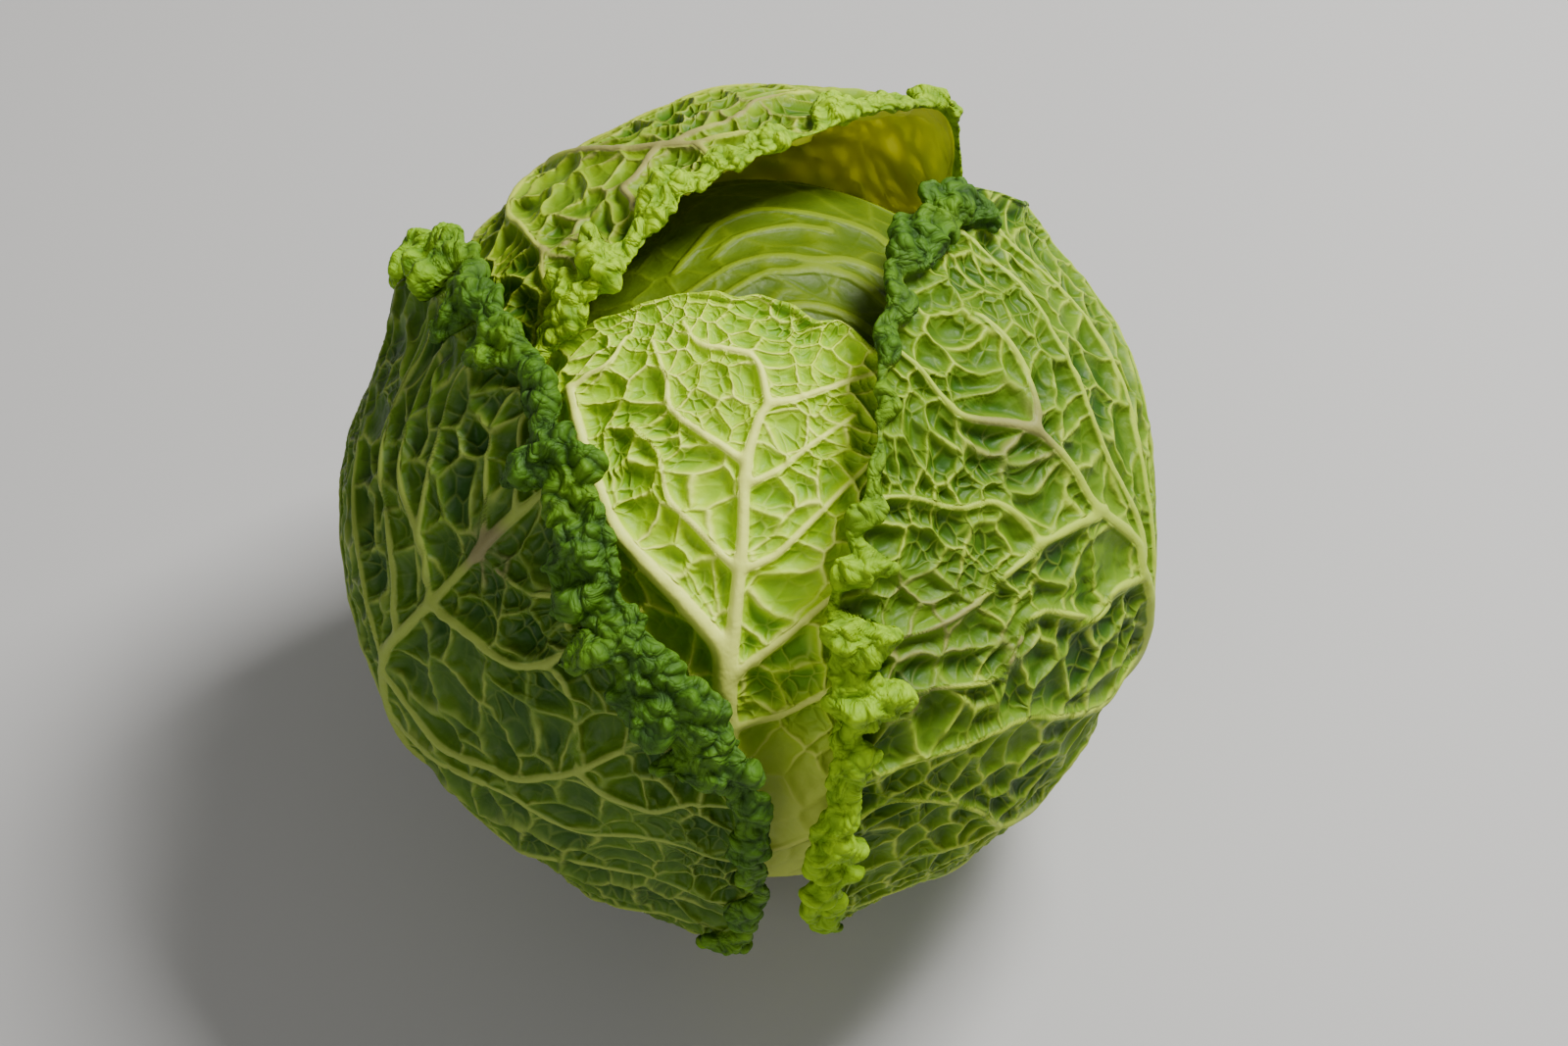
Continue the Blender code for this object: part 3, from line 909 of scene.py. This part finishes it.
front_veins = vein_set(0.75, [
    (15, 2.8, [(0, -116), (0, -80), (-1, -40), (-1, 0), (-1, 12), (-1, 24), (0, 37), (1, 50),
               (1, 61)]),
    (3.4, 2.2, [(1, 61), (2, 67), (4, 73), (6, 76)]),
    (2.2, 1.0, [(6, 76), (3, 85), (-3, 87), (-11, 88), (-16, 93)]),
    (2.0, 1.0, [(6, 76), (12, 77), (21, 79), (30, 81), (38, 82)]),
    (2.2, 1.0, [(2, 64), (-3, 67), (-9, 70), (-16, 74), (-18, 80), (-23, 88)]),
    (5.4, 3.4, [(-2, 20), (-3, 29), (-10, 37), (-16, 42), (-25, 49), (-30, 56), (-37, 67),
                (-41, 74)]),
    (1.6, 1.0, [(-41, 74), (-37, 78), (-33, 81), (-30, 88)]),
    (2.0, 0.9, [(-1, 45), (-9, 52), (-15, 57), (-18, 65), (-25, 70)]),
    (2.6, 1.0, [(-1, 20), (1, 24), (10, 31), (16, 36), (28, 44), (40, 54)]),
    (2.2, 0.9, [(-1, 8), (1, 12), (10, 15), (16, 18), (32, 26), (48, 38)]),
    (2.0, 0.9, [(1, 44), (8, 47), (14, 52), (24, 60), (36, 68)]),
    (1.8, 0.9, [(1, 60), (8, 63), (16, 68), (26, 73)]),
    (2.4, 0.9, [(-1, -4), (-14, 8), (-30, 24), (-44, 42), (-56, 54)]),
    (2.4, 0.9, [(-1, -30), (-18, -18), (-38, 0), (-54, 18)]),
    (2.4, 0.9, [(-1, -30), (18, -18), (38, 0), (54, 18)]),
    (2.2, 0.9, [(0, -60), (-20, -52), (-44, -34), (-62, -12)]),
    (2.2, 0.9, [(0, -60), (20, -52), (44, -34), (62, -12)]),
])


def front_lift(x, y, margin):
    return -1.0 * (1.0 - smooth(0.0, 16.0, margin)) * smooth(30.0, 80.0, y)


leaf_front = make_leaf(
    "leaf_front_blade", (-2, 15, 0), -8.4,
    [100, 89, 77, 70, 73, 86, 96, 86, 73, 72, 84, 97],
    [1.4, 1.4, 1.3] + [1] * 19 + [1.2, 1.4],
    [0.8] * 24,
    15.9, 300, front_lift, front_veins,
    {"cell": 9.0, "crowd": 0.4, "pit": 0.27, "deep": 3.3, "fine": 0.7, "rim": 22.0, "crumple": 0.1,
     "swell": 0.6, "floor": 2.9, "ease": 3, "pale": (-24.0, 14.0), "uneven": 0.6, "wavy": 0.8,
     "bubble": 0.9, "blister": 2.4, "lobe": 7.2, "gather": 0.0, "drift": (0.0, 0.2)}, 41,
)
green_front = leaf_material(
    "front leaf, puckered pale green", (0.52, 0.77, 0.002), (0.14, 0.33, 0.001), (0.84, 0.92, 0.16),
    (0.56, 0.70, 0.006), (0.22, 0.36, 0.003),
)
green_front_in = inner_material("front leaf, upper side", (0.46, 0.58, 0.08), (0.30, 0.42, 0.03))
cover(leaf_front, green_front, green_front_in)
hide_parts("leaf_front")


# --- Crown leaf -------------------------------------------------------
# The smooth pale leaf that shows under the hood. It wraps the crown from the back right, with
# soft ribs and the edge of one more leaf lying over it.

crown_veins = vein_set(0.8, [
    (7, 2.4, [(-4, -88), (-4, -50), (-8, -10), (-14, 14), (-18, 30), (-24, 46)]),
    (3.0, 1.6, [(-10, 29), (-1, 35), (3, 42), (8, 47), (12, 54), (13, 60), (14, 70)]),
    (3.0, 1.6, [(-15, 35), (-5, 38), (1, 44), (3, 48), (6, 53), (7, 62), (8, 72)]),
    (2.8, 1.6, [(-20, 42), (-12, 46), (-6, 52), (-2, 60), (-1, 72)]),
    (2.8, 1.6, [(-24, 50), (-18, 56), (-12, 64), (-9, 76)]),
    (3.4, 1.6, [(1, 21), (7, 22), (14, 27), (20, 32), (25, 37), (27, 46), (25, 54), (22, 64)]),
    (2.8, 1.4, [(10, 31), (15, 36), (18, 42), (20, 48), (19, 56)]),
    (2.6, 1.4, [(-8, -10), (14, 2), (34, 18), (46, 36)]),
    (2.6, 1.4, [(-8, -10), (-28, 4), (-46, 24), (-56, 42)]),
    (2.6, 1.4, [(-5, -40), (20, -28), (46, -8), (62, 12)]),
    (2.6, 1.4, [(-5, -40), (-28, -28), (-52, -6), (-66, 14)]),
])


def no_lift(x, y, margin):
    return np.zeros_like(x)


def lapped_edge(x, y):
    """The next leaf's edge, lying over this one from its left side."""
    edge_y = [-60, 8, 18, 25, 29, 34, 42, 50, 57, 63, 69, 90]
    edge_x = [-70, -30, -12, -3, 3, 7, 10, 13, 16, 20, 23, 32]
    return -1.3 * smooth(-0.6, 1.0, x - np.interp(y, edge_y, edge_x))


leaf_crown = make_leaf(
    "leaf_crown_blade", (130, 40, 0), -12.8,
    [92, 88, 82, 80, 84, 96, 110, 96, 84, 80, 82, 88],
    [1] * 24, [0.8] * 24, 15.8, 200, no_lift, crown_veins,
    {"cell": 13.0, "deep": 0.7, "fine": 0.2, "crumple": 0.05, "ribs": 0.45, "web": 0.1,
     "swell": 0.4, "fold": lapped_edge, "bubble": 0.5}, 53,
)
# The crown's pale green is darkened throughout with painted shade, for the shadow it lies in under
# the hood; the inner leaves share these colours.
crown_green_painted_shade = leaf_material(
    "crown leaf, pale green darkened by painted shade", (0.10, 0.16, 0.001), (0.060, 0.11, 0.001), (0.165, 0.24, 0.003),
    (0.30, 0.46, 0.006), (0.12, 0.24, 0.002), 0.35,
)
pale_green = inner_material("pale leaf, upper side", (0.55, 0.64, 0.10), (0.38, 0.50, 0.04))
cover(leaf_crown, crown_green_painted_shade, pale_green)
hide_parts("leaf_crown")


# --- Inner leaves -----------------------------------------------------
# Two smaller leaves that wrap the heart from the left and the right. They grew in the dark, so
# they are pale and nearly smooth.

inner_veins = vein_set(0.8, [
    (7, 2.0, [(0, -100), (0, -60), (0, -20), (1, 20), (0, 60)]),
    (2.4, 1.0, [(0, -50), (22, -34), (44, -8), (56, 14)]),
    (2.4, 1.0, [(0, -50), (-22, -34), (-44, -8), (-56, 14)]),
    (2.4, 1.0, [(0, -16), (18, 0), (34, 20), (44, 42)]),
    (2.4, 1.0, [(0, -16), (-18, 0), (-34, 20), (-44, 42)]),
    (2.0, 1.0, [(1, 16), (12, 30), (22, 48)]),
    (2.0, 1.0, [(1, 16), (-12, 30), (-22, 48)]),
])
small_leaf = [72, 76, 78, 78, 80, 88, 100, 88, 80, 78, 78, 76]
smooth_look = {"cell": 12.0, "deep": 0.6, "fine": 0.15, "crumple": 0.04, "ribs": 0.5, "web": 0.1,
               "swell": 0.5, "bubble": 0.4}
for name, node, place, layer, gap, seed in (
    ("leaf_inner_left_blade", "leaf_inner_left", (-95, 35, 5), -17.0, 15.6, 61),
    ("leaf_inner_right_blade", "leaf_inner_right", (42, 35, -5), -21.0, 15.4, 67),
):
    leaf = make_leaf(name, place, layer, small_leaf, [1] * 24, [0.8] * 24, gap, 80, no_lift,
                     inner_veins, smooth_look, seed)
    cover(leaf, crown_green_painted_shade, pale_green)
    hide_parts(node)


# --- Heart ------------------------------------------------------------
# The tight ball of young leaves in the middle, with faint folds where one laps the next. The
# core of the stem runs up into it from below.

STEM_R = 18.5                           # the stem's radius at the cut, in mm
CORE_TOP, CORE_TOP_R = 46.0, 6.0        # height of the core's top and its radius there
HEART_IN = 24.5                         # the heart's surface, in from the outer leaves
HEART_SWEEP = 162.0                     # its ball, in degrees from the top down to the core


def core_radius(z):
    return STEM_R + (CORE_TOP_R - STEM_R) * (np.maximum(0.0, z) / CORE_TOP) ** 1.3


def turned(name, profile, around_count, along_count):
    """A closed round body: a ball whose rings are moved onto (radius, height) points."""
    bpy.ops.mesh.primitive_uv_sphere_add(segments=around_count, ring_count=along_count, radius=1.0)
    obj = bpy.context.object
    obj.name = name
    count = len(obj.data.vertices)
    co = np.empty(count * 3)
    obj.data.vertices.foreach_get("co", co)
    co = co.reshape(-1, 3)
    profile = np.array(profile, float)
    run = np.concatenate([[0.0], np.cumsum(np.hypot(*np.diff(profile, axis=0).T))])
    share = np.arccos(np.clip(co[:, 2], -1, 1)) / math.pi * run[-1]
    r = np.interp(share, run, profile[:, 0])
    z = np.interp(share, run, profile[:, 1])
    turn = np.arctan2(co[:, 1], co[:, 0])
    r[np.abs(co[:, 2]) > 0.99999] = 0.0
    return obj, r, z, turn


def set_shape(obj, r, z, turn):
    place_points(obj.data, np.stack([r * np.cos(turn), r * np.sin(turn), z], 1))
    obj.data.shade_smooth()
    obj.select_set(False)
    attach(obj, "root")


ball = []
for k in range(41):
    angle = math.radians(90.0 - HEART_SWEEP * k / 40.0)
    d = np.array([[math.cos(angle), 0.0, math.sin(angle)]])
    reach = head_reach(d)[0] - HEART_IN
    ball.append((d[0, 0] * reach, d[0, 2] * reach + CENTRE[2]))
low = ball[-1][1]
core_hole = [(core_radius(z) + 0.8, z + 0.6) for z in np.linspace(low, CORE_TOP, 12)]
heart_profile = ball + core_hole + [(0.0, CORE_TOP + 3.0)]
heart, r, z, turn = turned("heart_ball", heart_profile, 64, 64)
wave = 0.5 * ripple(turn * 30.0 + z, z, 14.0, 71) * smooth(20.0, 40.0, r)
set_shape(heart, r - 0.5 + wave, z, turn)
heart.data.materials.append(pale_green)
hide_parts("heart")


# --- Stem -------------------------------------------------------------
# The short stump under the head, cut flat with a knife: pale pith inside a firmer ring and a
# green skin, with the ridges where each leaf stalk grew. It tapers up into the core.

stump = [(0.0, CORE_TOP + 2.0)]
stump += [(core_radius(z), z) for z in np.linspace(CORE_TOP, 1.0, 46)]
stump += [(STEM_R - 0.3, 0.35), (STEM_R - 0.8, 0.05), (STEM_R - 3.0, 0.0)]
stump += [(8.0, 0.0), (0.0, 0.0)]
stem, r, z, turn = turned("stem_stump", stump, 72, 80)
scars = 0.35 * np.sin(z * 1.1 + 2.0 * np.sin(turn * 3.0)) + 0.25 * np.sin(turn * 11.0 + z)
side_wall = smooth(1.0, 3.0, z) * smooth(0.0, 4.0, r)
set_shape(stem, r + (scars - 0.5) * side_wall, z, turn)

stem_flesh, tree, shader = new_material("cut stem")
place = tree.nodes.new("ShaderNodeTexCoord").outputs["Object"]
split = tree.nodes.new("ShaderNodeSeparateXYZ")
tree.links.new(place, split.inputs[0])
squares = [times(tree, split.outputs[axis], split.outputs[axis]) for axis in ("X", "Y")]
across = maths(tree, "SQRT", plus(tree, *squares))
ring = times(tree, step(tree, across, 0.0105, 0.0120), step(tree, across, 0.0155, 0.0140))
fibres = noise(tree, place, 700.0, 5.0)
dry = noise(tree, place, 120.0, 4.0)
flesh = blend(tree, ring, (0.66, 0.66, 0.36), (0.50, 0.54, 0.20))
dried = times(tree, step(tree, dry, 0.52, 0.68), 0.55)
flesh = blend(tree, dried, flesh, (0.36, 0.27, 0.12))
rind = blend(tree, step(tree, fibres, 0.35, 0.65), (0.30, 0.42, 0.10), (0.46, 0.55, 0.18))
flat = step(tree, split.outputs["Z"], 0.0009, 0.0003)
tree.links.new(blend(tree, flat, rind, flesh), shader.inputs["Base Color"])
tree.links.new(scaled(tree, dry, 0.3, 0.45), shader.inputs["Roughness"])
add_bump(tree, shader, fibres, 0.7)
stem.data.materials.append(stem_flesh)
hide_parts("stem")


# --- Studio -----------------------------------------------------------
# A pale floor, a big soft light high on the right and a weak fill from the left.

bpy.ops.mesh.primitive_plane_add(size=6.0, location=(0, 0, 0))
floor = bpy.context.object
floor.name = "floor"
floor_paint, _, shader = new_material("floor")
shader.inputs["Base Color"].default_value = (0.50, 0.49, 0.475, 1.0)
shader.inputs["Roughness"].default_value = 0.7
floor.data.materials.append(floor_paint)

world = bpy.data.worlds.new("studio")
world.use_nodes = True
sky = world.node_tree.nodes["Background"]
sky.inputs["Color"].default_value = (1.0, 1.0, 1.0, 1.0)
sky.inputs["Strength"].default_value = 0.20
bpy.context.scene.world = world


def soft_light(name, spot, size, power):
    """A square lamp that points at the middle of the head."""
    lamp = bpy.data.lights.new(name, "AREA")
    lamp.size = size
    lamp.energy = power
    obj = bpy.data.objects.new(name, lamp)
    bpy.context.scene.collection.objects.link(obj)
    obj.location = spot
    way = Vector((0.0, 0.0, 0.08)) - Vector(spot)
    obj.rotation_euler = way.to_track_quat("-Z", "Y").to_euler()


soft_light("key", (0.42, 0.28, 0.85), 0.32, 15.5)
soft_light("fill", (-0.5, -1.0, 0.6), 0.9, 4.8)

CAMERA_TILT = 56.0                      # degrees down from level
CAMERA_FAR = 0.764                      # from the middle of the view, in metres

camera = bpy.data.objects.new("camera", bpy.data.cameras.new("camera"))
bpy.context.scene.collection.objects.link(camera)
camera.data.lens = 85.0
camera.data.sensor_width = 36.0
tilt = math.radians(CAMERA_TILT)
back = Vector((0.0, -math.cos(tilt), math.sin(tilt)))
camera_up = Vector((0.0, math.sin(tilt), math.cos(tilt)))
target = Vector((0.0071, 0.0, 0.078)) - camera_up * 0.0011
camera.location = target + back * CAMERA_FAR
camera.rotation_euler = (-back).to_track_quat("-Z", "Y").to_euler()
bpy.context.scene.camera = camera
